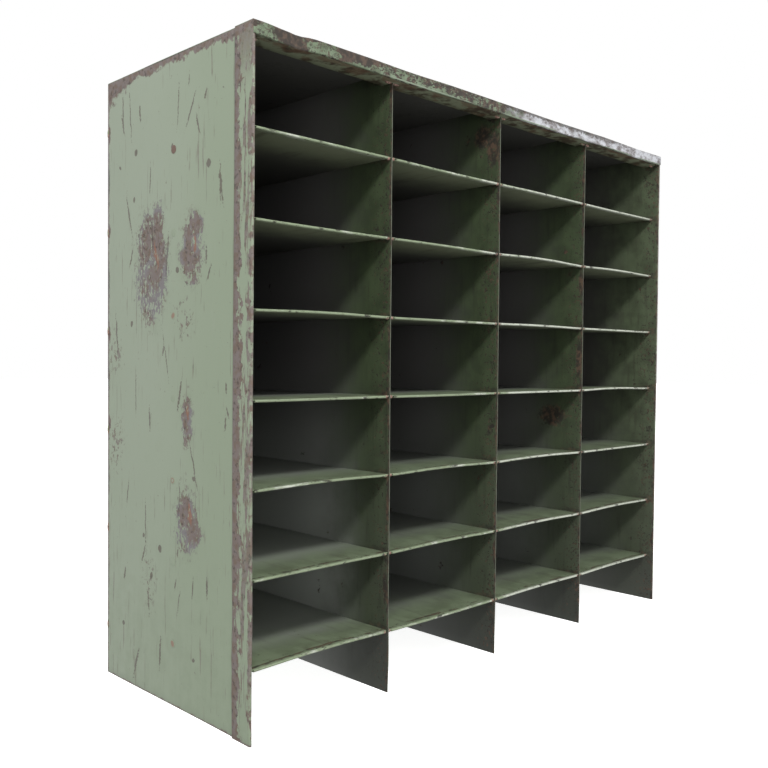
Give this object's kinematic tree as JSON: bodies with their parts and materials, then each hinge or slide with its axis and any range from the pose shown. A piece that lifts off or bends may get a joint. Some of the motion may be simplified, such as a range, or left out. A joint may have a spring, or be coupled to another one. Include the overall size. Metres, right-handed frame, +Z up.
{
  "type": "pigeonhole sorting rack",
  "caption": "Free-standing open pigeonhole rack of folded and welded sheet steel, with slotted shelves and dividers and open legs.",
  "frame": {"origin": "on the floor under the middle of the rack", "axes": "+X to the right seen from the front, +Y from the open front to the back, +Z up"},
  "size_m": [1.123, 0.414, 1],
  "materials": {
    "side_paint": "worn sage-green enamel, satin, chipped to brown steel",
    "top_paint": "sage-green enamel worn through to bare steel",
    "shelf_paint": "worn sage-green enamel with bright chipped edges",
    "inner_paint": "dull sage-green enamel with rust specks",
    "weld_steel": "rust-brown bare weld metal under thin paint"
  },
  "bodies": {
    "root": {"left_side_panel": "side_paint", "right_side_panel": "side_paint", "top_panel": "top_paint", "back_panel": "inner_paint", "divider_1": "inner_paint", "divider_2": "inner_paint", "divider_3": "inner_paint", "shelf_1": "shelf_paint", "shelf_2": "shelf_paint", "shelf_3": "shelf_paint", "shelf_4": "shelf_paint", "shelf_5": "shelf_paint", "shelf_6": "shelf_paint", "shelf_7": "shelf_paint", "left_tab_welds": "weld_steel", "right_tab_welds": "weld_steel", "left_end_tacks": "weld_steel", "right_end_tacks": "weld_steel", "divider_1_tacks": "weld_steel", "divider_2_tacks": "weld_steel", "divider_3_tacks": "weld_steel", "lip_tacks": "weld_steel", "back_tacks": "weld_steel"}
  },
  "joints": []
}
